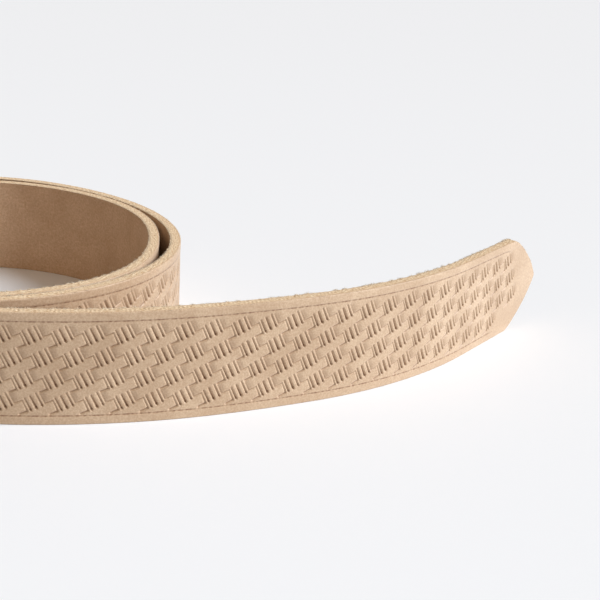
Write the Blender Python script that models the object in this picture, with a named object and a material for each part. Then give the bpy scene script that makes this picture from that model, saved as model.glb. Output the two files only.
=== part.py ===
"""A leather belt strap, stamped on its grain side, standing on its edge in a loose coil.

The strap is one strip of vegetable-tanned leather.  Seen from above it is wound twice round a
centre and its rounded tail leaves the coil and sweeps away to +X.  The strip is laid out as a
row of stretches, each one a short rigid body, because leather flexes all along its length and a
rigid model can only flex between one stretch and the next.  The stretches of the two turns hold
each other.  The stretches of the tail, and the inner end, turn on upright flex lines.

Units are metres, +Z is up and the strap stands on z = 0, under the middle of its box.
"""
import math

import bmesh
import bpy
import numpy as np

# Strap
STRAP_WIDTH = 0.0381          # 1 1/2 in belt
STRAP_THICKNESS = 0.0038      # 9 to 10 oz leather
EDGE_BEVEL = 0.0005           # the worn and bevelled long edges
CUT_GAP = 0.0003              # space left between one stretch and the next

# Coil.  Angles are in degrees about the coil's centre, counter-clockwise from above, and rise
# from the inner end of the strip to the place where the tail leaves the coil.
CLOSED_RADIUS = 0.06585       # middle of the strap's thickness at CLOSED_RADIUS_ANGLE
CLOSED_RADIUS_ANGLE = -800.0
TURN_GAP = 0.0003             # space between touching turns
TURN_PITCH = STRAP_THICKNESS + TURN_GAP
SIDE_ANGLE = 45.0             # each stretch of the coil covers an eighth of a turn
INNER_TURN_ANGLE = -787.5     # from here two whole turns of eight stretches follow
INNER_END_ANGLE = -897.0      # the square cut end of the strip
TAIL_ANGLE = -95.0            # the tail leaves the coil here
BOWS = (                      # where a turn bows out from an even spiral: from, to, how far
    (-802.0, -702.0, 0.0027),
    (-776.0, -716.0, 0.0008),
    (-665.0, -510.0, 0.0055),
    (-442.0, -305.0, 0.0051),
    (-305.0, -150.0, 0.0090),
)
SIDES = ("front_right", "right", "back_right", "back", "back_left", "left", "front_left", "front")

# Tail: its bends, each as (length along the strap, radius), then a straight end
TAIL_BENDS = ((0.108, 0.217), (0.034, 0.406), (0.072, 0.1587))
TAIL_LENGTH = 0.2690
TIP_LENGTH = 0.02135          # from the end of the parallel edges to the point
TIP_FULLNESS = 1.28           # 2 gives an ellipse, 1 gives a straight-sided point
TIP_POINTS = 9                # points along each side of the rounded tip
TIP_CROWDING = 1.5            # above 1 crowds those points towards the shoulders

# Flex lines
FLEX_FIRST = 0.014            # distance of the first one from where the tail leaves the coil
FLEX_SPACING = 0.042
FLEX_COUNT = 6
FLEX_RELIEF = 17.0            # degrees that each end of a flexing stretch falls away

POINT_SPACING = 0.0060        # distance between outline points along the strap
TRIM_LENGTH = 0.0030          # extra length that is cut off again to form a stretch's end
ANGLE_STEP = 0.05             # degrees, for the coil's direction
SAME_PLACE = 1e-7             # metres, points this close are one point
FLAT_ENOUGH = 0.9             # part of a unit normal that marks a face as square to an axis
CORNER_ANGLE = 1.0            # radians, edges sharper than this are the tip's rim

SHARP_ANGLE = math.radians(35)
LEATHER_COLOUR = (0.604, 0.402, 0.258, 1.0)
LEATHER_ROUGHNESS = 0.62


def bow(angle):
    """How far the turns bow out at an angle: the sum of the smooth humps over it."""
    total = 0.0
    for start, end, height in BOWS:
        if start < angle < end:
            total += height * math.sin(math.pi * (angle - start) / (end - start)) ** 2
    return total


def coil_point(angle):
    """Middle of the strap's thickness on the coil, about the coil's own centre."""
    wound = (angle - CLOSED_RADIUS_ANGLE) / 360.0
    radius = CLOSED_RADIUS + TURN_PITCH * wound + bow(angle)
    return np.array([radius * math.cos(math.radians(angle)), radius * math.sin(math.radians(angle))])


def coil_direction(angle):
    """Direction of the strap on the coil, towards the tail."""
    along = coil_point(angle + ANGLE_STEP) - coil_point(angle - ANGLE_STEP)
    return along / np.linalg.norm(along)


def tail_place(distance):
    """Point and direction on the tail, at a distance along it from the coil."""
    point = coil_point(TAIL_ANGLE)
    direction = coil_direction(TAIL_ANGLE)
    heading = math.atan2(direction[1], direction[0])
    left = distance
    for length, radius in TAIL_BENDS:
        run = min(left, length)
        turned = heading + run / radius
        point = point + radius * np.array([math.sin(turned) - math.sin(heading),
                                           math.cos(heading) - math.cos(turned)])
        heading = turned
        left -= run
    direction = np.array([math.cos(heading), math.sin(heading)])
    return point + left * direction, direction


def coil_place(angle):
    """Point and direction on the coil, at an angle."""
    return coil_point(angle), coil_direction(angle)


def strip_place(station):
    """Point and direction anywhere on the strip.

    A station is ("coil", degrees) or ("tail", metres from the coil).
    """
    kind, value = station
    return coil_place(value) if kind == "coil" else tail_place(value)


def stations_between(start, end):
    """Stations from start to end, about POINT_SPACING apart, with a little extra at both ends."""
    extra_angle = math.degrees(TRIM_LENGTH / CLOSED_RADIUS)
    step_angle = math.degrees(POINT_SPACING / CLOSED_RADIUS)
    found = []
    if start[0] == "coil":
        last = end[1] + extra_angle if end[0] == "coil" else TAIL_ANGLE
        count = max(2, round((last - start[1]) / step_angle))
        found += [("coil", a) for a in np.linspace(start[1] - extra_angle, last, count)]
    if end[0] == "tail":
        first = start[1] - TRIM_LENGTH if start[0] == "tail" else POINT_SPACING
        last = end[1] + TRIM_LENGTH
        count = max(2, round((last - first) / POINT_SPACING))
        found += [("tail", d) for d in np.linspace(first, last, count)]
    return found


def side_points(station, shift):
    """The strap's two faces at a station, as plan points: flesh side and grain side."""
    point, direction = strip_place(station)
    inward = np.array([-direction[1], direction[0]])
    half = STRAP_THICKNESS / 2
    return point + half * inward + shift, point - half * inward + shift


def plan_box():
    """Lowest and highest plan corner of the whole strip, about the coil's centre."""
    stations = stations_between(("coil", INNER_END_ANGLE), ("tail", TAIL_LENGTH - TRIM_LENGTH))
    nothing = np.zeros(2)
    corners = [p for s in stations[1:] for p in side_points(s, nothing)]
    return np.min(corners, axis=0), np.max(corners, axis=0)


def bevel_long_edges(body, normal_axis):
    """Round the edges of the two big flat faces, which lie square to normal_axis."""
    flat = {f for f in body.faces if abs(f.normal[normal_axis]) > FLAT_ENOUGH}
    rims = [e for e in body.edges if sum(f in flat for f in e.link_faces) == 1]
    bmesh.ops.bevel(body, geom=rims, offset=EDGE_BEVEL, segments=1, affect="EDGES", clamp_overlap=True)


def trim(body, point, outwards):
    """Cut away everything on the outward side of an upright plane and close the cut."""
    everything = body.verts[:] + body.edges[:] + body.faces[:]
    bmesh.ops.bisect_plane(body, geom=everything, dist=SAME_PLACE, plane_co=(point[0], point[1], 0.0),
                           plane_no=(outwards[0], outwards[1], 0.0), clear_outer=True)
    bmesh.ops.holes_fill(body, edges=[e for e in body.edges if e.is_boundary], sides=0)


def turned(direction, degrees):
    """A plan direction, turned counter-clockwise."""
    angle = math.radians(degrees)
    return np.array([direction[0] * math.cos(angle) - direction[1] * math.sin(angle),
                     direction[0] * math.sin(angle) + direction[1] * math.cos(angle)])


def trim_end(body, station, outward_sign, flexes, shift):
    """Form one end of a stretch: square, or as a blunt ridge that leaves room to flex."""
    point, direction = strip_place(station)
    outwards = outward_sign * direction
    face = point + shift - outwards * CUT_GAP / 2
    angles = (-FLEX_RELIEF, FLEX_RELIEF) if flexes else (0.0,)
    for angle in angles:
        trim(body, face, turned(outwards, angle))


def leather():
    """Undyed vegetable-tanned leather."""
    material = bpy.data.materials.new("veg_tan_leather")
    material.use_nodes = True
    shader = material.node_tree.nodes["Principled BSDF"]
    shader.inputs["Base Color"].default_value = LEATHER_COLOUR
    shader.inputs["Roughness"].default_value = LEATHER_ROUGHNESS
    shader.inputs["Metallic"].default_value = 0.0
    material.diffuse_color = LEATHER_COLOUR
    return material


def add_object(name, body, origin, material):
    """Make a named object from a mesh in world coordinates, with its own origin."""
    bmesh.ops.recalc_face_normals(body, faces=body.faces)
    bmesh.ops.translate(body, verts=body.verts, vec=[-c for c in origin])
    mesh = bpy.data.meshes.new(name)
    body.to_mesh(mesh)
    body.free()
    mesh.materials.append(material)
    mesh.shade_smooth()
    mesh.set_sharp_from_angle(angle=SHARP_ANGLE)
    made = bpy.data.objects.new(name, mesh)
    made.location = origin
    bpy.context.scene.collection.objects.link(made)
    return made


def origin_at(station, shift):
    """The foot of the strap's middle line at a station, where a stretch has its origin."""
    point = strip_place(station)[0] + shift
    return (point[0], point[1], 0.0)


def add_stretch(name, start, end, shift, material, start_flexes=False, end_flexes=False):
    """One stretch of the strip: its plan outline, drawn up to the strap's width."""
    sides = [side_points(s, shift) for s in stations_between(start, end)]
    outline = [grain for _, grain in sides] + [flesh for flesh, _ in reversed(sides)]
    body = bmesh.new()
    floor = body.faces.new([body.verts.new((p[0], p[1], 0.0)) for p in outline])
    raised = bmesh.ops.extrude_face_region(body, geom=[floor])["geom"]
    top = [v for v in raised if isinstance(v, bmesh.types.BMVert)]
    bmesh.ops.translate(body, verts=top, vec=(0.0, 0.0, STRAP_WIDTH))
    bmesh.ops.recalc_face_normals(body, faces=body.faces)
    bevel_long_edges(body, 2)
    trim_end(body, start, -1.0, start_flexes, shift)
    trim_end(body, end, 1.0, end_flexes, shift)
    return add_object(name, body, origin_at(start, shift), material)


def tip_outline(start, end):
    """The tip seen square on, as (along, up) points: parallel edges and a rounded point."""
    half = STRAP_WIDTH / 2
    shoulder = end - TIP_LENGTH
    to_point = (1.0 - np.cos(np.linspace(math.pi / 2, 0.0, TIP_POINTS))) ** TIP_CROWDING
    share = 1.0 - to_point
    across = (1.0 - share ** TIP_FULLNESS) ** (1.0 / TIP_FULLNESS)
    upper = [(shoulder + TIP_LENGTH * a, half + half * b) for a, b in zip(share, across)]
    lower = [(x, 2 * half - z) for x, z in reversed(upper[:-1])]
    return [(start - TRIM_LENGTH, 2 * half)] + upper + lower + [(start - TRIM_LENGTH, 0.0)]


def add_tip(name, start, end, shift, material):
    """The straight end of the tail: its outline seen square on, given the strap's thickness."""
    point, direction = tail_place(start)
    inward = np.array([-direction[1], direction[0]])
    outer = point + shift - inward * STRAP_THICKNESS / 2
    body = bmesh.new()
    corners = []
    for x, z in tip_outline(start, end):
        plan = outer + (x - start) * direction
        corners.append(body.verts.new((plan[0], plan[1], z)))
    grain = body.faces.new(corners)
    raised = bmesh.ops.extrude_face_region(body, geom=[grain])["geom"]
    flesh = [v for v in raised if isinstance(v, bmesh.types.BMVert)]
    through = inward * STRAP_THICKNESS
    bmesh.ops.translate(body, verts=flesh, vec=(through[0], through[1], 0.0))
    bmesh.ops.recalc_face_normals(body, faces=body.faces)
    rims = [e for e in body.edges if len(e.link_faces) == 2 and e.calc_face_angle() > CORNER_ANGLE]
    bmesh.ops.bevel(body, geom=rims, offset=EDGE_BEVEL, segments=1, affect="EDGES", clamp_overlap=True)
    trim_end(body, ("tail", start), -1.0, True, shift)
    return add_object(name, body, origin_at(("tail", start), shift), material)


def add_inner_end(shift, material):
    """The strip inside the inner turn: one held stretch and two that can curl inwards."""
    fixed_start = INNER_TURN_ANGLE - SIDE_ANGLE
    curl_start = fixed_start - SIDE_ANGLE
    add_stretch("inner_end", ("coil", INNER_END_ANGLE), ("coil", curl_start), shift, material,
                end_flexes=True)
    add_stretch("inner_end_root", ("coil", curl_start), ("coil", fixed_start), shift, material,
                start_flexes=True, end_flexes=True)
    add_stretch("inner_turn_start", ("coil", fixed_start), ("coil", INNER_TURN_ANGLE), shift,
                material, start_flexes=True)


def add_turn(prefix, first_angle, last_end, shift, material):
    """Eight stretches, one full turn of the coil, of which the last one ends at last_end."""
    for number, side in enumerate(SIDES):
        start = ("coil", first_angle + number * SIDE_ANGLE)
        is_last = number == len(SIDES) - 1
        end = last_end if is_last else ("coil", first_angle + (number + 1) * SIDE_ANGLE)
        add_stretch(f"{prefix}_{side}", start, end, shift, material, end_flexes=end[0] == "tail")


def add_tail(shift, material):
    """The free tail: five stretches between flex lines and the rounded tip."""
    for number in range(FLEX_COUNT - 1):
        start = FLEX_FIRST + number * FLEX_SPACING
        add_stretch(f"tail_stretch_{number + 1}", ("tail", start), ("tail", start + FLEX_SPACING),
                    shift, material, start_flexes=True, end_flexes=True)
    add_tip("tail_tip", FLEX_FIRST + (FLEX_COUNT - 1) * FLEX_SPACING, TAIL_LENGTH, shift, material)


def build():
    """Lay out the whole strip, from its inner end to the tip of its tail."""
    for old in list(bpy.data.objects):
        bpy.data.objects.remove(old, do_unlink=True)
    material = leather()
    low, high = plan_box()
    shift = -(low + high) / 2
    outer_turn_angle = INNER_TURN_ANGLE + 360.0
    add_inner_end(shift, material)
    add_turn("inner_turn", INNER_TURN_ANGLE, ("coil", outer_turn_angle), shift, material)
    add_turn("outer_turn", outer_turn_angle, ("tail", FLEX_FIRST), shift, material)
    add_tail(shift, material)


build()
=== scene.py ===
"""A leather belt strap, basket stamped on its grain side, standing on its edge in a loose coil."""
import math

import bpy
import numpy as np
from mathutils import Matrix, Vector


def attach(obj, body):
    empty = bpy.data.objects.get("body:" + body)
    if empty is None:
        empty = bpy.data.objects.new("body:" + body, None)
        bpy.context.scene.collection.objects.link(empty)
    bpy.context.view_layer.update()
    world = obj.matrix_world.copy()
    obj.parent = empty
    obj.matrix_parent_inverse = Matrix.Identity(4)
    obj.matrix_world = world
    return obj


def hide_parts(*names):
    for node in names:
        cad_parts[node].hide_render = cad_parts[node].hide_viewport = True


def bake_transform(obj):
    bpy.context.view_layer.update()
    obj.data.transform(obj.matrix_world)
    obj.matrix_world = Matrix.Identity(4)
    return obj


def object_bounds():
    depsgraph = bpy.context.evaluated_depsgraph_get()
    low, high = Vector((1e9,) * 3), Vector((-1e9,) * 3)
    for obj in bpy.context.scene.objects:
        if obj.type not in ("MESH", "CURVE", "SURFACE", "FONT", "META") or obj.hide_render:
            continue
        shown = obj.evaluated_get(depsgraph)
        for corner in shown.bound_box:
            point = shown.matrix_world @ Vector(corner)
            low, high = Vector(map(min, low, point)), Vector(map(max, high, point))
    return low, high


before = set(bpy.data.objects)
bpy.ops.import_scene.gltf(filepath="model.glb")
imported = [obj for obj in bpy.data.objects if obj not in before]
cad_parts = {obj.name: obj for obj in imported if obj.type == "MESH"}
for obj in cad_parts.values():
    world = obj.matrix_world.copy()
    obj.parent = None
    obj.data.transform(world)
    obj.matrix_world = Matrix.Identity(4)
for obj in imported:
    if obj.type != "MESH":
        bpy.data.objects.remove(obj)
cad_low, cad_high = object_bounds()


# ---- Camera -------------------------------------------------------------------------------
# A moderate telephoto from just above the strap, turned a little about its own axis, so that
# the tail crosses the picture and the coil is cut by its left edge.
CAMERA_PLACE = (0.0524, -0.3884, 0.1658)
CAMERA_DOWN = 20.71           # degrees below level, looking along +Y
CAMERA_ROLL = 3.52            # degrees
CAMERA_LENS = 66.78           # mm, on a 36 mm sensor

camera = bpy.data.objects.new("camera", bpy.data.cameras.new("camera"))
camera.data.lens = CAMERA_LENS
camera.data.sensor_width = 36.0
camera.data.clip_start = 0.01
camera.data.clip_end = 100.0
camera.matrix_world = (
    Matrix.Translation(CAMERA_PLACE)
    @ Matrix.Rotation(math.radians(90.0 - CAMERA_DOWN), 4, "X")
    @ Matrix.Rotation(math.radians(CAMERA_ROLL), 4, "Z")
)
bpy.context.scene.collection.objects.link(camera)
bpy.context.scene.camera = camera


# ---- The strip of leather: its lay --------------------------------------------------------
# One strip of vegetable-tanned cowhide, cut 1 1/2 in wide and 50 in long from a 9 to 10 oz side
# with a strap cutter.  It is wound twice round, and its tail leaves the coil and sweeps away.
STRAP_WIDTH = 0.0381
STRAP_THICKNESS = 0.0038
CLOSED_RADIUS = 0.06585       # middle of the thickness, at CLOSED_RADIUS_ANGLE
CLOSED_RADIUS_ANGLE = -800.0
TURN_GAP = 0.0003             # space between touching turns
TURN_PITCH = STRAP_THICKNESS + TURN_GAP
INNER_END_ANGLE = -897.0      # the square cut end
INNER_TURN_ANGLE = -787.5     # the inner turn's eight even stretches begin here
SIDE_ANGLE = 45.0             # each of them covers an eighth of a turn
TAIL_ANGLE = -95.0            # the tail leaves the coil here
TAIL_LENGTH = 0.2690
BOWS = (                      # where a turn bows out from an even spiral: from, to, how far
    (-802.0, -702.0, 0.0027),
    (-776.0, -716.0, 0.0008),
    (-665.0, -510.0, 0.0055),
    (-442.0, -305.0, 0.0051),
    (-305.0, -150.0, 0.0090),
)
TAIL_BENDS = ((0.108, 0.217), (0.034, 0.406), (0.072, 0.1587))   # length, radius
LAY_STEP = 0.0002             # distance between the points that the tail's lay is worked out at
COIL_POINTS = 5001            # points that the coil's lay is worked out at
HEADING_STEP = 0.05           # degrees to each side of TAIL_ANGLE, to find the tail's heading


def coil_points(angles):
    """Middle of the thickness on the coil.

    The radius grows by one pitch a turn, plus a sine-squared hump over each bow.
    """
    radius = CLOSED_RADIUS + TURN_PITCH * (angles - CLOSED_RADIUS_ANGLE) / 360.0
    for start, end, height in BOWS:
        share = np.clip((angles - start) / (end - start), 0.0, 1.0)
        radius = radius + height * np.sin(np.pi * share) ** 2
    turn = np.radians(angles)
    return np.stack((radius * np.cos(turn), radius * np.sin(turn)), axis=1)


def tail_points(distances, start, heading):
    """Middle of the thickness on the tail: one arc after another, then a straight line.

    The heading rises by distance over radius, and the point is the running sum of its steps.
    """
    turned = np.full_like(distances, heading)
    begun = 0.0
    for length, radius in TAIL_BENDS:
        turned = turned + np.clip(distances - begun, 0.0, length) / radius
        begun += length
    middle = (turned[1:] + turned[:-1]) / 2.0
    steps = np.diff(distances)[:, None] * np.stack((np.cos(middle), np.sin(middle)), axis=1)
    return start + np.concatenate((np.zeros((1, 2)), np.cumsum(steps, axis=0)))


coil_angles = np.linspace(INNER_END_ANGLE, TAIL_ANGLE, COIL_POINTS)
coil_path = coil_points(coil_angles)
last_two = coil_points(np.array([TAIL_ANGLE - HEADING_STEP, TAIL_ANGLE + HEADING_STEP]))
tail_heading = math.atan2(*(last_two[1] - last_two[0])[::-1])
tail_along = np.linspace(0.0, TAIL_LENGTH, round(TAIL_LENGTH / LAY_STEP) + 1)
tail_path = tail_points(tail_along, coil_path[-1], tail_heading)
lay_path = np.concatenate((coil_path, tail_path[1:]))
lay_along = np.concatenate(((0.0,), np.cumsum(np.linalg.norm(np.diff(lay_path, axis=0), axis=1))))
COIL_LENGTH = lay_along[len(coil_path) - 1]
STRIP_LENGTH = lay_along[-1]
lay_forward = np.gradient(lay_path, lay_along, axis=0)
lay_forward /= np.linalg.norm(lay_forward, axis=1)[:, None]
lay_outward = np.stack((lay_forward[:, 1], -lay_forward[:, 0]), axis=1)   # towards the grain
faces_of_lay = np.concatenate((lay_path + lay_outward * STRAP_THICKNESS / 2,
                               lay_path - lay_outward * STRAP_THICKNESS / 2))
lay_middle = (faces_of_lay.min(axis=0) + faces_of_lay.max(axis=0)) / 2
cad_middle = (np.array(cad_low[:2]) + np.array(cad_high[:2])) / 2
lay_path = lay_path + cad_middle - lay_middle


def along_at_angle(angle):
    """Distance along the strip, from its cut end, at an angle of the coil."""
    return float(np.interp(angle, coil_angles, lay_along[:len(coil_angles)]))


def place_at(along):
    """Points, forward and outward directions on the lay, by interpolation along the strip."""
    point, forward = (
        np.stack([np.interp(along, lay_along, values[:, axis]) for axis in (0, 1)], axis=-1)
        for values in (lay_path, lay_forward)
    )
    forward = forward / np.linalg.norm(forward, axis=-1, keepdims=True)
    return point, forward, np.stack((forward[..., 1], -forward[..., 0]), axis=-1)


# ---- The stamping -------------------------------------------------------------------------
# A basketweave stamp, struck on the damp grain side, leaves slanted bricks with short thick
# strokes between them.  Four rows of it run between two creased border lines.
STAMP_PITCH = 9.33            # mm along the strap from one stroke to the next
STAMP_ROW_SHIFT = 3.11        # mm along, from a row to the one below
STAMP_ROW_DROP = 7.55         # mm down
STAMP_TOP_ROW = 28.62         # mm above the lower edge: foot of the top row's thick stroke
STAMP_FIRST = 38.9            # mm from the coil along the tail: foot of a thick stroke
STAMP_ROWS = 4
STAMP_SLANT = 24.4            # degrees that the bricks rise towards the tip
FOOT_BELOW = 2.2              # mm from the middle of the thick stroke down to its foot
BORDER_LOW, BORDER_HIGH = 3.1, 35.1      # mm, the two creased lines
STAMP_STROKES = (             # from and to, along and across a brick; width; depth; foot's darkness
    ((-2.85, 1.95), (-3.00, -2.10), 0.42, 0.30, 0.5),
    ((-1.87, 2.30), (-1.87, -2.30), 0.54, 0.50, 0.9),
    ((0.00, 2.20), (0.00, -2.25), 0.64, 0.62, 1.0),
    ((1.97, 2.40), (1.97, -2.26), 0.52, 0.46, 0.8),
    ((3.00, 2.05), (3.00, -1.75), 0.50, 0.22, 0.0),
    ((-5.63, 1.97), (-2.80, 1.90), 0.40, 0.32, 0.0),
    ((-3.10, -2.14), (-5.60, -2.10), 0.66, 0.46, 0.4),
)
BRICK_DIP = 0.16              # mm that a brick's lower end dips under the stroke before it
BRICK_DIP_AT = (3.7, 0.15)    # mm, middle of the dip, along and across from the thick stroke
BRICK_DIP_SIZE = (0.9, 2.2)   # mm
GROOVE_SPREAD = 0.58          # half the groove's width at 1/e of its depth, over its stroke's width
CORE_SPREAD = 0.36            # the same for the dark line along its bottom
# The dark line along a groove's bottom and the spot at its foot are burnish and painted shade in the
# recess.
CORE_DARKNESS = 0.85
CORE_BASE = 0.35              # part of that darkness that a shallow stroke has too
HEAD_DEPTH = 0.7              # a long stroke's depth at its head, as a share
FOOT_GAIN = 0.5               # and how much deeper it is at its foot
FOOT_SIZE = 0.45              # mm, radius of the dark spot at a stroke's foot
FOOT_ABOVE = 0.25             # mm that the spot's middle lies above the foot
# Painted shade over a brick's dipped lower end.
DIP_PAINTED_SHADE = 0.34
FIELD_DROP = 0.10             # mm that the stamped field lies below the plain borders
FIELD_EDGE = 0.5              # mm over which it falls
FIELD_FADE = (-9.0, 1.0)      # mm from STAMP_END, where it rises again
BORDER_CURL = 2.2             # mm that the upper line turns down, by its end at the tip
BORDER_CURL_FROM, BORDER_CURL_OVER = 240.0, 7.0      # mm along the tail
BORDER_LOW_END, BORDER_HIGH_END = 240.0, 248.0       # mm along the tail
BORDER_FADE = 9.0             # mm
CREASE_WIDTH = 0.23           # mm
CREASE_DEPTH = 0.16           # mm
STAMP_END = 220.0 + STAMP_FIRST          # mm along the tail: the last marks before the tip
STAMP_END_FALL = 16.0         # mm that they end sooner at END_REACH above or below END_MIDDLE
STAMP_END_REACH = 12.0
STAMP_END_MIDDLE = 20.5
STAMP_END_POWER = 1.3
STAMP_END_FADE = 1.0          # mm


def smooth(values, low, high):
    """0 below low, 1 above high, and t * t * (3 - 2 t) between them."""
    t = np.clip((values - low) / (high - low), 0.0, 1.0)
    return t * t * (3.0 - 2.0 * t)


def stamping(tail_mm, up_mm):
    """Height of the grain surface in mm, and how dark its colour is there, 0 to 1: the stamp's burnish
    and painted shade.

    Each stroke is a groove about a line, deeper and darker towards its foot.  Its depth falls as
    exp(-r ** 3) of the distance from the line, and its darkness as exp(-r ** 2).  That darkness is
    the stamp's burnish with painted shade in the groove.  A brick's lower end dips in the same way,
    and the darkness over the dip is painted shade.  The two border lines are narrow creases whose
    darkness varies along them as a sum of sines.
    """
    height = np.zeros_like(tail_mm)
    burnish_and_shade = np.zeros_like(tail_mm)
    dip = np.zeros_like(tail_mm)
    slant = math.radians(STAMP_SLANT)
    cos, sin = math.cos(slant), math.sin(slant)
    for row in range(STAMP_ROWS):
        offset = tail_mm - STAMP_FIRST - row * STAMP_ROW_SHIFT
        number = np.round(offset / STAMP_PITCH)
        north = up_mm - STAMP_TOP_ROW + row * STAMP_ROW_DROP
        stroke_up = STAMP_TOP_ROW - row * STAMP_ROW_DROP + FOOT_BELOW
        reach = (abs(stroke_up - STAMP_END_MIDDLE) / STAMP_END_REACH) ** STAMP_END_POWER
        last = STAMP_END - STAMP_END_FALL * reach
        for step in (-1.0, 0.0, 1.0):
            east = offset - (number + step) * STAMP_PITCH
            brick_u = east * cos + north * sin
            brick_v = north * cos - east * sin - FOOT_BELOW
            struck = 1.0 - smooth(tail_mm - east, last - STAMP_END_FADE, last)
            dip = np.maximum(dip, struck * np.exp(
                -((brick_u - BRICK_DIP_AT[0]) / BRICK_DIP_SIZE[0]) ** 2
                - ((brick_v - BRICK_DIP_AT[1]) / BRICK_DIP_SIZE[1]) ** 4))
            for (u0, v0), (u1, v1), width, depth, foot in STAMP_STROKES:
                du, dv = u1 - u0, v1 - v0
                share = ((brick_u - u0) * du + (brick_v - v0) * dv) / (du * du + dv * dv)
                share = np.clip(share, 0.0, 1.0)
                away = np.hypot(brick_u - u0 - share * du, brick_v - v0 - share * dv)
                deep = HEAD_DEPTH + FOOT_GAIN * share if abs(dv) > abs(du) else 1.0
                groove = np.exp(-(away / (GROOVE_SPREAD * width)) ** 3) * struck * deep
                height = np.minimum(height, -depth * groove)
                core = np.exp(-(away / (CORE_SPREAD * width)) ** 2) * struck * deep
                core = core * (CORE_BASE + depth)
                from_foot = (brick_u - u1) ** 2 + (brick_v - v1 - FOOT_ABOVE) ** 2
                spot = np.exp(-from_foot / FOOT_SIZE ** 2)
                # Darker along the groove and at its foot: burnish with painted shade.
                burnish_and_shade = np.maximum(burnish_and_shade, CORE_DARKNESS * core)
                burnish_and_shade = np.maximum(burnish_and_shade, foot * spot * struck)
            # Painted shade over the brick's dip.
            burnish_and_shade = np.maximum(burnish_and_shade, DIP_PAINTED_SHADE * dip * struck)
    field = smooth(up_mm, BORDER_LOW, BORDER_LOW + FIELD_EDGE)
    field = field * smooth(-up_mm, -BORDER_HIGH, FIELD_EDGE - BORDER_HIGH)
    field = field * (1.0 - smooth(tail_mm, STAMP_END + FIELD_FADE[0], STAMP_END + FIELD_FADE[1]))
    height = height - BRICK_DIP * dip - FIELD_DROP * field
    ragged = 0.74 + 0.24 * np.sin(1.9 * tail_mm + 2.0 * np.sin(0.61 * tail_mm))
    ragged = ragged + 0.18 * np.sin(4.7 * tail_mm)
    curl = BORDER_CURL * (np.clip(tail_mm - BORDER_CURL_FROM, 0.0, None) / BORDER_CURL_OVER) ** 2
    borders = ((BORDER_LOW, 0.0, BORDER_LOW_END), (BORDER_HIGH, curl, BORDER_HIGH_END))
    for line, bend, end in borders:
        crease = np.exp(-((up_mm - line + bend) / CREASE_WIDTH) ** 2)
        crease = crease * (1.0 - smooth(tail_mm, end - BORDER_FADE, end))
        height = height - CREASE_DEPTH * crease
        burnish_and_shade = np.maximum(burnish_and_shade, ragged * crease)
    return height, np.clip(burnish_and_shade, 0.0, 1.0)


# ---- Cutting the strip --------------------------------------------------------------------
# The strap is one strip, and is modelled as one skin: the grain face with its stamping, the two
# cut edges and the flesh face.  It is made in lengths, which never meet at a flex line.
TIP_LENGTH = 0.02135          # from the end of the parallel edges to the point
TIP_FULLNESS = 1.28           # power of the tip's superellipse
TIP_COLUMNS = 1.5             # columns over the tip, as a share of those in a straight run
TIP_SHARE = 0.998             # of the tip's length, so that its last column still has a width
GRIT_WAVES = 14
GRIT_SEED = 7
GRIT_SIZES = (0.7, 1.9)       # shortest and longest wave, as shares of the size asked for
FULL_CIRCLE = 6.28            # radians
EDGE_GRIT = 0.00011           # how far the cut edge's fibres stand up or down
EDGE_GRIT_SIZE = 0.9          # mm
EDGES_APART = 9.0             # mm, so that the two edges don't have the same grit
EDGE_ROWS = 9                 # rows of points across the cut edge
GRAIN_CORNER = 0.00045        # radius of the corner between the grain and a cut edge
FLESH_CORNER = 0.00035
EDGE_ROW_INSETS = (0.00050, 0.00033, 0.00020, 0.00010, 0.00004, 0.0)   # last rows before an edge
FLESH_SPACING = 0.0008        # least space between rows on the plain flesh face


def half_width(along):
    """Half the strap's width: constant, then the superellipse of the tip."""
    share = np.clip((along - (STRIP_LENGTH - TIP_LENGTH)) / TIP_LENGTH, 0.0, 1.0)
    return STRAP_WIDTH / 2 * (1.0 - share ** TIP_FULLNESS) ** (1.0 / TIP_FULLNESS)


def from_outline(along, up):
    """Distance in from the strap's outline: one minus its radius function, over its gradient."""
    a = np.clip((along - (STRIP_LENGTH - TIP_LENGTH)) / TIP_LENGTH, 1e-6, None)
    b = np.clip(abs(up - STRAP_WIDTH / 2) / (STRAP_WIDTH / 2), 1e-6, None)
    f = (a ** TIP_FULLNESS + b ** TIP_FULLNESS) ** (1.0 / TIP_FULLNESS)
    slope_a = (a / f) ** (TIP_FULLNESS - 1.0) / TIP_LENGTH
    slope_b = (b / f) ** (TIP_FULLNESS - 1.0) / (STRAP_WIDTH / 2)
    return np.clip((1.0 - f) / np.hypot(slope_a, slope_b), 0.0, None)


def fall_at_corner(distance, radius):
    """Drop of a face near its edge: a quarter circle of that radius."""
    inside = np.clip(radius - distance, 0.0, radius)
    return radius - np.sqrt(radius * radius - inside * inside)


def grit(first_mm, second_mm, size_mm):
    """Uneven surface, about -1 to 1: a sum of sine waves in spread directions and near one size."""
    total = np.zeros(np.broadcast(first_mm, second_mm).shape)
    draw = np.random.default_rng(GRIT_SEED)
    for _ in range(GRIT_WAVES):
        turn = draw.uniform(0.0, math.pi)
        size = size_mm * draw.uniform(*GRIT_SIZES)
        phase = draw.uniform(0.0, FULL_CIRCLE)
        run = first_mm * math.cos(turn) + second_mm * math.sin(turn)
        total += np.sin(run * FULL_CIRCLE / size + phase)
    return total / math.sqrt(GRIT_WAVES)


def across_rows(spacing):
    """Rows over half the width, from the middle (0) to the edge (1), closer at the edge."""
    edge = np.array(EDGE_ROW_INSETS)
    count = math.ceil(STRAP_WIDTH / 2 / spacing)
    flat = np.linspace(0.0, STRAP_WIDTH / 2 - edge[0], count, endpoint=False)
    return np.concatenate((flat, STRAP_WIDTH / 2 - edge)) / (STRAP_WIDTH / 2)


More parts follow.
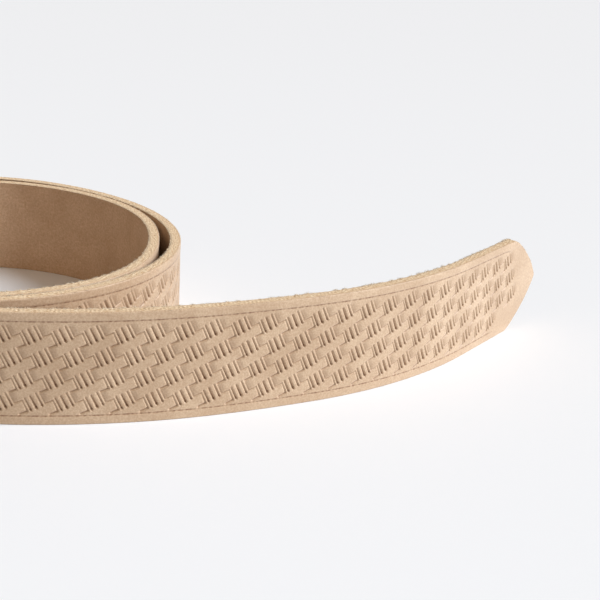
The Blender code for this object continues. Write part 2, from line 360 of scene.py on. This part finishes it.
def strip_length(name, start, end, column_spacing, row_spacing, materials):
    """A closed length of the strap, from start to end in metres along the strip.

    The section is a ring of points: up the grain face, over the upper edge, down the flesh face
    and back over the lower edge.  Each column of the grid is that ring, carried to its place.
    """
    columns = max(2, round((end - start) / column_spacing) + 1)
    along = np.linspace(start, end, columns)
    if end >= STRIP_LENGTH - 1e-9:
        shoulder = STRIP_LENGTH - TIP_LENGTH
        straight = np.linspace(start, shoulder, round((shoulder - start) / column_spacing) + 1)
        turn = np.linspace(0.0, math.pi / 2, round(TIP_COLUMNS * TIP_LENGTH / column_spacing))[1:]
        along = np.concatenate((straight, shoulder + TIP_LENGTH * np.sin(turn) * TIP_SHARE))
    rows = across_rows(row_spacing)
    grain_rows = np.concatenate((-rows[:0:-1], rows))
    flesh_half = across_rows(max(row_spacing, FLESH_SPACING))
    flesh_rows = np.concatenate((-flesh_half[:0:-1], flesh_half))[::-1]
    wall = np.linspace(0.0, 1.0, EDGE_ROWS + 2)[1:-1]
    share = np.concatenate((grain_rows, np.ones(EDGE_ROWS), flesh_rows, -np.ones(EDGE_ROWS)))
    depth = np.concatenate((np.zeros(len(grain_rows)), wall, np.ones(len(flesh_rows)), wall[::-1]))
    ring = len(share)
    first_flesh = len(grain_rows) + EDGE_ROWS
    last_flesh = first_flesh + len(flesh_rows) - 1
    is_grain = np.arange(ring) < len(grain_rows)
    is_flesh = (np.arange(ring) >= first_flesh) & (np.arange(ring) <= last_flesh)
    s = np.repeat(along[:, None], ring, axis=1)
    down_edge_mm = depth * STRAP_THICKNESS * 1000.0 + EDGES_APART * share
    rough = EDGE_GRIT * np.sin(np.pi * depth) ** 0.5 * grit(s * 1000.0, down_edge_mm, EDGE_GRIT_SIZE)
    z = STRAP_WIDTH / 2 + share[None, :] * half_width(along)[:, None]
    inset = from_outline(s, z)
    tail_mm = (s - COIL_LENGTH) * 1000.0
    relief, burnish_and_shade = stamping(tail_mm, z * 1000.0)
    grain = STRAP_THICKNESS / 2 - fall_at_corner(inset, GRAIN_CORNER) + relief * 0.001
    flesh = -STRAP_THICKNESS / 2 + fall_at_corner(inset, FLESH_CORNER)
    top, bottom = STRAP_THICKNESS / 2 - GRAIN_CORNER, -STRAP_THICKNESS / 2 + FLESH_CORNER
    edge = top + (bottom - top) * depth[None, :] + 0.0 * s
    through = np.where(is_grain, grain, np.where(is_flesh, flesh, edge))
    plan, _, outward = place_at(s)
    level = np.maximum(z + share * rough, 0.0)
    points = np.concatenate((plan + outward * through[..., None], level[..., None]), axis=-1)
    mesh = bpy.data.meshes.new(name)
    fill_grid(mesh, points)
    rested = np.stack((s * 1000.0, through * 1000.0, z * 1000.0), axis=-1)
    mesh.attributes.new("strap_mm", "FLOAT_VECTOR", "POINT").data.foreach_set(
        "vector", rested.astype(np.float32).ravel())
    # How dark the grain is: the stamp's burnish and painted shade in its grooves and dips.
    mesh.attributes.new("burnish_and_shade", "FLOAT", "POINT").data.foreach_set(
        "value", np.where(is_grain, burnish_and_shade, 0.0).astype(np.float32).ravel())
    face_kind = np.ones(ring, np.int32)
    face_kind[:len(grain_rows) - 1] = 0
    face_kind[first_flesh:last_flesh] = 2
    kinds = np.concatenate((np.tile(face_kind, len(along) - 1), (1, 1))).astype(np.int32)
    for material in materials:
        mesh.materials.append(material)
    mesh.polygons.foreach_set("material_index", kinds)
    mesh.update()
    made = bpy.data.objects.new(name, mesh)
    bpy.context.scene.collection.objects.link(made)
    return made


def fill_grid(mesh, points):
    """Put a tube of points[column, place on ring] into a mesh, with a flat cap on each end."""
    columns, ring = points.shape[:2]
    index = np.arange(columns * ring).reshape(columns, ring)
    beside = np.roll(index, -1, axis=1)
    quads = np.stack((index[:-1], index[1:], beside[1:], beside[:-1]), axis=-1).reshape(-1)
    loops = np.concatenate((quads, index[0], index[-1][::-1]))
    quad_count = (columns - 1) * ring
    starts = np.concatenate((np.arange(quad_count) * 4, (quad_count * 4, quad_count * 4 + ring)))
    mesh.vertices.add(points.shape[0] * ring)
    mesh.vertices.foreach_set("co", points.astype(np.float32).ravel())
    mesh.loops.add(len(loops))
    mesh.loops.foreach_set("vertex_index", loops.astype(np.int32))
    mesh.polygons.add(len(starts))
    mesh.polygons.foreach_set("loop_start", starts.astype(np.int32))
    mesh.update(calc_edges=True)
    mesh.validate()
    ends = np.zeros(len(mesh.edges) * 2, np.int32)
    mesh.edges.foreach_get("vertices", ends)
    column = ends.reshape(-1, 2) // ring
    rim = (column[:, 0] == column[:, 1]) & ((column[:, 0] == 0) | (column[:, 0] == columns - 1))
    mesh.attributes.new("sharp_edge", "BOOLEAN", "EDGE").data.foreach_set("value", rim)
    smooth_faces = np.ones(len(starts), bool)
    smooth_faces[-2:] = False
    mesh.polygons.foreach_set("use_smooth", smooth_faces)


# ---- The leather's surfaces ---------------------------------------------------------------
# Undyed vegetable-tanned cowhide: a pale smooth grain that darkens where it is pressed, with
# painted shade in its stamped grooves, a cream, fibrous cut edge, and a browner, napped flesh side.


def linear(code):
    """An sRGB hex colour as linear red, green, blue and alpha."""
    parts = [int(code[i:i + 2], 16) / 255.0 for i in (0, 2, 4)]
    return [c / 12.92 if c <= 0.04045 else ((c + 0.055) / 1.055) ** 2.4 for c in parts] + [1.0]


def node(tree, kind, settings, **links):
    """A node with its settings.  A link is named after an input, with _ for a space, or n0, n1."""
    made = tree.nodes.new(kind)
    for key, value in settings.items():
        if isinstance(key, int) or key in made.inputs:
            made.inputs[key].default_value = value
        else:
            setattr(made, key, value)
    for key, socket in links.items():
        numbered = key[0] == "n" and key[1:].isdigit()
        target = made.inputs[int(key[1:]) if numbered else key.replace("_", " ")]
        tree.links.new(socket, target)
    return made


def blank_material(name):
    """A material with only a shader and its output."""
    material = bpy.data.materials.new(name)
    material.use_nodes = True
    return material, material.node_tree, material.node_tree.nodes["Principled BSDF"]


def strap_place(tree):
    """The strap's own coordinates in mm: along it, through its thickness, and up across it."""
    return node(tree, "ShaderNodeAttribute", {"attribute_name": "strap_mm"}).outputs["Vector"]


def share_between(tree, value, low, high, first=0.0, second=1.0):
    """A share that goes from first to second as value goes from low to high."""
    ranges = {"From Min": low, "From Max": high, "To Min": first, "To Max": second}
    return node(tree, "ShaderNodeMapRange", ranges, Value=value).outputs["Result"]


def add_bump(tree, shader, height, strength, distance):
    """Fine relief from a pattern's height; distance is in metres."""
    settings = {"Strength": strength, "Distance": distance}
    bump = node(tree, "ShaderNodeBump", settings, Height=height)
    tree.links.new(bump.outputs["Normal"], shader.inputs["Normal"])


def mixed(tree, share, first, second):
    """first where share is 0, second where it is 1; each is a colour or a socket."""
    mix = node(tree, "ShaderNodeMix", {"data_type": "RGBA"})
    for slot, value in ((6, first), (7, second)):
        if isinstance(value, list):
            mix.inputs[slot].default_value = value
        else:
            tree.links.new(value, mix.inputs[slot])
    tree.links.new(share, mix.inputs[0])
    return mix.outputs[2]


def grain_leather():
    """Grain side: slight sheen, fine pores and pebble, darker where pressed, with painted shade in the
    grooves.
    """
    material, tree, shader = blank_material("veg_tan_grain_stamped")
    place = strap_place(tree)
    burnish_and_shade = node(tree, "ShaderNodeAttribute", {"attribute_name": "burnish_and_shade"}).outputs["Fac"]
    cloud = node(tree, "ShaderNodeTexNoise", {"Scale": 1 / 14.0, "Detail": 4.0}, Vector=place)
    share = share_between(tree, cloud.outputs["Fac"], 0.35, 0.65)
    body = mixed(tree, share, linear("C4A889"), linear("D2B798"))
    pebble = node(tree, "ShaderNodeTexNoise", {"Scale": 1 / 0.55, "Detail": 3.0}, Vector=place)
    share = share_between(tree, pebble.outputs["Fac"], 0.38, 0.62, 0.35, 0.0)
    body = mixed(tree, share, body, linear("9F7657"))
    # Darker brown where stamped: burnish and painted shade.
    share = share_between(tree, burnish_and_shade, 0.12, 0.95, 0.0, 0.9)
    body = mixed(tree, share, body, linear("70421F"))
    tree.links.new(body, shader.inputs["Base Color"])
    shader.inputs["Roughness"].default_value = 0.52
    shader.inputs["Sheen Weight"].default_value = 0.30
    shader.inputs["Sheen Roughness"].default_value = 0.45
    add_bump(tree, shader, pebble.outputs["Fac"], 0.5, 0.00008)
    return material


def cut_edge_leather():
    """Cut edge: pale raw fibres in layers, matt, browner next to the grain."""
    material, tree, shader = blank_material("veg_tan_cut_edge_raw")
    place = strap_place(tree)
    drawn_out = {"operation": "MULTIPLY", 1: (0.35, 2.6, 1.0)}
    layers = node(tree, "ShaderNodeVectorMath", drawn_out, n0=place).outputs[0]
    fibre = node(tree, "ShaderNodeTexNoise", {"Scale": 1.6, "Detail": 5.0}, Vector=layers)
    share = share_between(tree, fibre.outputs["Fac"], 0.36, 0.66)
    body = mixed(tree, share, linear("C29D74"), linear("F3E0C0"))
    through = node(tree, "ShaderNodeSeparateXYZ", {}, Vector=place).outputs["Y"]
    share = share_between(tree, through, 1.0, 1.5, 0.0, 0.55)
    body = mixed(tree, share, body, linear("BC8A58"))
    tree.links.new(body, shader.inputs["Base Color"])
    shader.inputs["Roughness"].default_value = 0.85
    add_bump(tree, shader, fibre.outputs["Fac"], 0.8, 0.0002)
    return material


def flesh_leather():
    """Flesh side: short nap, browner than the grain and without any gloss."""
    material, tree, shader = blank_material("veg_tan_flesh_napped")
    place = strap_place(tree)
    short_nap = {"Scale": 1 / 0.9, "Detail": 6.0, "Roughness": 0.65}
    nap = node(tree, "ShaderNodeTexNoise", short_nap, Vector=place)
    cloud = node(tree, "ShaderNodeTexNoise", {"Scale": 1 / 9.0, "Detail": 3.0}, Vector=place)
    share = share_between(tree, nap.outputs["Fac"], 0.33, 0.67)
    body = mixed(tree, share, linear("BB9B7E"), linear("D7BA9C"))
    share = share_between(tree, cloud.outputs["Fac"], 0.35, 0.7, 0.0, 0.35)
    body = mixed(tree, share, body, linear("AB8A6B"))
    tree.links.new(body, shader.inputs["Base Color"])
    shader.inputs["Roughness"].default_value = 0.95
    add_bump(tree, shader, nap.outputs["Fac"], 0.7, 0.00015)
    return material


LEATHER = (grain_leather(), cut_edge_leather(), flesh_leather())


# ---- Loose fibres -------------------------------------------------------------------------
# Fibres of the same leather, which the cutter pulled up along the strap's corners.  They are
# longest and closest together at the upper corner of the flesh side.
FIBRE_THICKNESS = 0.00013
FIBRE_CORNERS = (   # fibres per mm; 1 upper or -1 lower; 1 grain or -1 flesh; lean out, up; length
    (26.0, 1, -1, 1.0, 0.5, 0.00105),
    (7.0, 1, 1, 0.35, 0.9, 0.00045),
    (2.0, -1, 1, 0.5, 0.5, 0.00030),
    (2.0, -1, -1, 0.7, 0.5, 0.00040),
)
FIBRE_ZONE = 0.0012           # how far in from the corner their roots lie
FIBRE_DEPTH = 0.00006         # how deep in the edge their roots lie
FIBRE_TIP_STOP = 0.0015       # none grow on the last of the point
FIBRE_SPREAD = 0.45           # standard deviation of their lean
FIBRE_SPREAD_ALONG = 0.7
FIBRE_LEAST_UP = 0.05         # least share of up or down, so that each stands off the edge
FIBRE_SHORTEST = 0.35         # shortest over longest
TUFT_SIZE = 2.6               # mm, length of strap over which they are longer or shorter
TUFT_MIDDLE, TUFT_SWING = 0.55, 0.45
TUFT_LIMITS = (0.15, 1.4)
FIBRE_ANGLES = (0.0, 2.094, 4.189)
BESIDE_FROM = (0.31, 0.52, 0.79)      # any direction that no fibre has


def fibre_leather():
    """Loose fibres: pale and matt, with a little sheen."""
    material, _, shader = blank_material("veg_tan_loose_fibres")
    shader.inputs["Base Color"].default_value = linear("EBD8B8")
    shader.inputs["Roughness"].default_value = 0.9
    shader.inputs["Sheen Weight"].default_value = 0.3
    return material


FIBRES = fibre_leather()


def unit(rows):
    """Each row over its own length."""
    return rows / np.linalg.norm(rows, axis=1)[:, None]


def fibre_mesh(name, root, tip):
    """Closed tetrahedra: three points round each root, a third of a turn apart, and its tip."""
    way = unit(tip - root)
    beside = unit(np.cross(way, BESIDE_FROM))
    across = np.cross(way, beside)
    base = root - way * FIBRE_THICKNESS
    half = FIBRE_THICKNESS / 2
    ring = [base + half * (beside * math.cos(a) + across * math.sin(a)) for a in FIBRE_ANGLES]
    points = np.stack((*ring, tip), axis=1).reshape(-1, 3)
    faces = np.array(((0, 2, 1), (0, 1, 3), (1, 2, 3), (2, 0, 3)))
    faces = (faces[None] + 4 * np.arange(len(root))[:, None, None]).reshape(-1, 3)
    mesh = bpy.data.meshes.new(name)
    mesh.vertices.add(len(points))
    mesh.vertices.foreach_set("co", points.astype(np.float32).ravel())
    mesh.loops.add(faces.size)
    mesh.loops.foreach_set("vertex_index", faces.astype(np.int32).ravel())
    mesh.polygons.add(len(faces))
    mesh.polygons.foreach_set("loop_start", (3 * np.arange(len(faces))).astype(np.int32))
    mesh.materials.append(FIBRES)
    mesh.update(calc_edges=True)
    return mesh


def loose_fibres(name, start, end):
    """The fibres on a length of the strap, along its four corners.

    A tip is its root plus its length times a unit direction, which is the sum of the along,
    outward and up directions, each times its own share.
    """
    draw = np.random.default_rng(round(start * 1e5) + 3)
    stop = min(end, STRIP_LENGTH - FIBRE_TIP_STOP)
    roots, tips = [], []
    for per_mm, side, corner, lean, up_lean, longest in FIBRE_CORNERS:
        count = round((stop - start) * 1000.0 * per_mm)
        s = draw.uniform(start, stop, count)
        inset = draw.uniform(0.0, 1.0, count) ** 2 * FIBRE_ZONE
        through = corner * (STRAP_THICKNESS / 2 - inset)
        tuft = TUFT_MIDDLE + TUFT_SWING * grit(s * 1000.0, 0.0 * s + corner, TUFT_SIZE)
        length = longest * draw.uniform(FIBRE_SHORTEST, 1.0, count) * np.clip(tuft, *TUFT_LIMITS)
        plan, forward, outward = place_at(s)
        z = STRAP_WIDTH / 2 + side * (half_width(s) - FIBRE_DEPTH)
        root = np.concatenate((plan + outward * through[:, None], z[:, None]), axis=1)
        lean_out = corner * draw.normal(lean, FIBRE_SPREAD, count)
        lean_up = side * np.clip(draw.normal(up_lean, FIBRE_SPREAD, count), FIBRE_LEAST_UP, None)
        lean_along = draw.normal(0.0, FIBRE_SPREAD_ALONG, count)
        level = forward * lean_along[:, None] + outward * lean_out[:, None]
        way = unit(np.concatenate((level, lean_up[:, None]), axis=1))
        roots.append(root)
        tips.append(root + way * length[:, None])
    root, tip = np.concatenate(roots), np.concatenate(tips)
    tip[:, 2] = np.maximum(tip[:, 2], 0.0)
    made = bpy.data.objects.new(name, fibre_mesh(name, root, tip))
    bpy.context.scene.collection.objects.link(made)
    return made


# ---- Inner end ----------------------------------------------------------------------------
# The square cut end of the strip, where a buckle would go.  It is the same leather, and lies
# inside the inner turn.
INNER_GRID = (0.0005, 0.0004)       # column and row spacing of parts that are seldom seen


def finish_length(nodes):
    """Hide the model's parts that this length of the strap stands in for."""
    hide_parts(*nodes)


def flex_blend(piece):
    """Bake a length's transform into its mesh."""
    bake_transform(piece)


end_flex = along_at_angle(INNER_TURN_ANGLE - 2 * SIDE_ANGLE)
root_flex = along_at_angle(INNER_TURN_ANGLE - SIDE_ANGLE)
root_middle = (end_flex + root_flex) / 2
held_middle = (root_flex + along_at_angle(INNER_TURN_ANGLE)) / 2

leather_inner_end = strip_length("leather_inner_end", 0.0, root_middle, *INNER_GRID, LEATHER)
finish_length(["inner_end"])
flex_blend(leather_inner_end)
end_fibres = loose_fibres("fibres_inner_end", 0.0, root_middle)
flex_blend(end_fibres)

leather_inner_root = strip_length("leather_inner_root", root_middle, held_middle, *INNER_GRID, LEATHER)
finish_length(["inner_end_root"])
flex_blend(leather_inner_root)
root_fibres = loose_fibres("fibres_inner_root", root_middle, held_middle)
flex_blend(root_fibres)


# ---- Inner turn ---------------------------------------------------------------------------
# The first whole turn, which lies between the inner end and the outer turn.  Only its upper
# edge and its flesh side are in sight.
SIDES = ("front_right", "right", "back_right", "back", "back_left", "left", "front_left", "front")
INNER_TURN_GRID = (0.0004, 0.0006)
TURN_CUTS = 15                      # cuts between stretches, from the inner turn's start on

turn_starts = [along_at_angle(INNER_TURN_ANGLE + number * SIDE_ANGLE) for number in range(TURN_CUTS)]
inner_cuts = [held_middle, turn_starts[4], turn_starts[8]]
inner_nodes = (["inner_turn_start"] + [f"inner_turn_{side}" for side in SIDES[:4]],
               [f"inner_turn_{side}" for side in SIDES[4:]])
for number, nodes in enumerate(inner_nodes):
    start, end = inner_cuts[number:number + 2]
    piece = strip_length(f"leather_inner_turn_{number + 1}", start, end, *INNER_TURN_GRID, LEATHER)
    finish_length(nodes)
    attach(piece, "coil")
    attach(loose_fibres(f"fibres_inner_turn_{number + 1}", start, end), "coil")


# ---- Outer turn ---------------------------------------------------------------------------
# The second turn, stamped side out.  It stands off the inner turn on the right, and again at
# the back and on the left, and lies against it in between.
OUTER_GRID = (0.0003, 0.0003)
FIRST_FLEX = 0.014                  # from the end of the coil to the tail's first flex line
ROOT_LENGTH = 0.020                 # from the outer turn's last cut to that flex line

first_flex = COIL_LENGTH + FIRST_FLEX
tail_root = first_flex - ROOT_LENGTH
outer_cuts = [turn_starts[8], turn_starts[10], turn_starts[12], turn_starts[14], tail_root]
for number in range(4):
    start, end = outer_cuts[number:number + 2]
    piece = strip_length(f"leather_outer_turn_{number + 1}", start, end, *OUTER_GRID, LEATHER)
    nodes = [f"outer_turn_{side}" for side in SIDES[2 * number:2 * number + 2]]
    finish_length(nodes)
    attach(piece, "coil")
    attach(loose_fibres(f"fibres_outer_turn_{number + 1}", start, end), "coil")


# ---- Tail ---------------------------------------------------------------------------------
# The free end of the strap, which curves away from the coil to a rounded point and bends all
# along its length.  The stamping stops short of the point in a curve.
TAIL_GRID = (0.00022, 0.00022)
FLEX_SPACING = 0.042
TAIL_BODIES = ["coil"] + [f"tail_stretch_{number}" for number in range(1, 6)] + ["tail_tip"]

for number in range(1, len(TAIL_BODIES)):
    hinge = first_flex + (number - 1) * FLEX_SPACING
    start = tail_root if number == 1 else hinge - FLEX_SPACING / 2
    end = STRIP_LENGTH if TAIL_BODIES[number] == "tail_tip" else hinge + FLEX_SPACING / 2
    piece = strip_length(f"leather_tail_{number}", start, end, *TAIL_GRID, LEATHER)
    finish_length([TAIL_BODIES[number]])
    flex_blend(piece)
    fibres = loose_fibres(f"fibres_tail_{number}", start, end)
    flex_blend(fibres)


# ---- Floor and light ----------------------------------------------------------------------
# A matt white table top in a bright room.  The room's own light is warm, and one large soft
# light on the right is slightly cool.
FLOOR_HALF = 6.0
KEY_FROM = -4.0               # degrees behind the right-hand side; minus is in front of it
KEY_UP = 34.0                 # degrees above the floor
KEY_SIZE = 30.0               # degrees across

floor_mesh = bpy.data.meshes.new("floor")
floor_mesh.from_pydata([(-FLOOR_HALF, -FLOOR_HALF, 0), (FLOOR_HALF, -FLOOR_HALF, 0),
                        (FLOOR_HALF, FLOOR_HALF, 0), (-FLOOR_HALF, FLOOR_HALF, 0)], [], [(0, 1, 2, 3)])
floor = bpy.data.objects.new("floor", floor_mesh)
bpy.context.scene.collection.objects.link(floor)
floor_paint = bpy.data.materials.new("table_top_matt_white")
floor_paint.use_nodes = True
floor_shader = floor_paint.node_tree.nodes["Principled BSDF"]
floor_shader.inputs["Base Color"].default_value = linear("F0F3F6")
floor_shader.inputs["Roughness"].default_value = 0.6
floor_mesh.materials.append(floor_paint)

world = bpy.data.worlds.new("room")
bpy.context.scene.world = world
world.use_nodes = True
sky = world.node_tree.nodes["Background"]
sky.inputs["Color"].default_value = linear("FFEAD3")
sky.inputs["Strength"].default_value = 0.36

key = bpy.data.objects.new("key", bpy.data.lights.new("key", "SUN"))
key.data.angle = math.radians(KEY_SIZE)
key.data.energy = 4.2
key.data.color = (0.94, 1.0, 1.08)
key.matrix_world = (
    Matrix.Rotation(math.radians(90.0 + KEY_FROM), 4, "Z")
    @ Matrix.Rotation(math.radians(90.0 - KEY_UP), 4, "X")
)
bpy.context.scene.collection.objects.link(key)

bpy.context.scene.view_settings.view_transform = "Standard"
